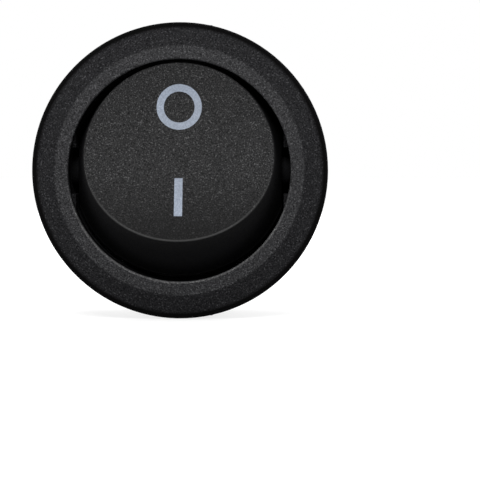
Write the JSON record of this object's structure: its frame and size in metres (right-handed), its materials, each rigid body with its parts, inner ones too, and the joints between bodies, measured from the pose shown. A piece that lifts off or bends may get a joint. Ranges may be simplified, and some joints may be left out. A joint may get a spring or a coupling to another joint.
{
  "type": "round panel rocker switch",
  "caption": "Round snap-in panel rocker switch, on/off, with a dished rocker marked O and I, toothed retaining clips and blade terminals.",
  "frame": {"origin": "centre of the bezel's flat back face, which seats on the panel", "axes": "+Y into the panel towards the terminals, +Z towards the rocker's O end, X along the rocker's pivot"},
  "size_m": [0.023, 0.029, 0.023],
  "materials": {
    "housing_plastic": "fine spark-eroded matte black",
    "rocker_plastic": "fine spark-eroded matte dark grey",
    "print": "matt bluish white print",
    "plunger_plastic": "smooth natural acetal",
    "spring_steel": "drawn wire",
    "lever_brass": "stamped sheet",
    "contact_silver": "silver",
    "tinned_brass": "bright tin plate"
  },
  "bodies": {
    "housing": {"housing": "housing_plastic", "common_terminal": "tinned_brass", "load_terminal": "tinned_brass", "fixed_contact": "contact_silver"},
    "rocker": {"rocker": "rocker_plastic", "legend_off": "print", "legend_on": "print", "spring": "spring_steel"},
    "plunger": {"plunger": "plunger_plastic"},
    "lever": {"contact_lever": "lever_brass", "moving_contact": "contact_silver"}
  },
  "joints": [
    {"name": "rocker", "type": "hinge", "parent": "housing", "child": "rocker", "pos_m": [0, 0.00145, 0], "axis": [1, 0, 0], "range_deg": [0, 31]},
    {"name": "lever", "type": "hinge", "parent": "housing", "child": "lever", "pos_m": [0, 0.0098, 0], "axis": [1, 0, 0], "range_deg": [-14, 0]},
    {"name": "plunger", "type": "slide", "parent": "rocker", "child": "plunger", "axis": [0, 0.9636, -0.2672], "range_m": [-0.0006, 0], "stiffness_N_per_m": 300, "deforming": ["spring"]}
  ],
  "couplings": [
    {"joint": "lever", "follows": "rocker", "ratio": -0.4516}
  ]
}
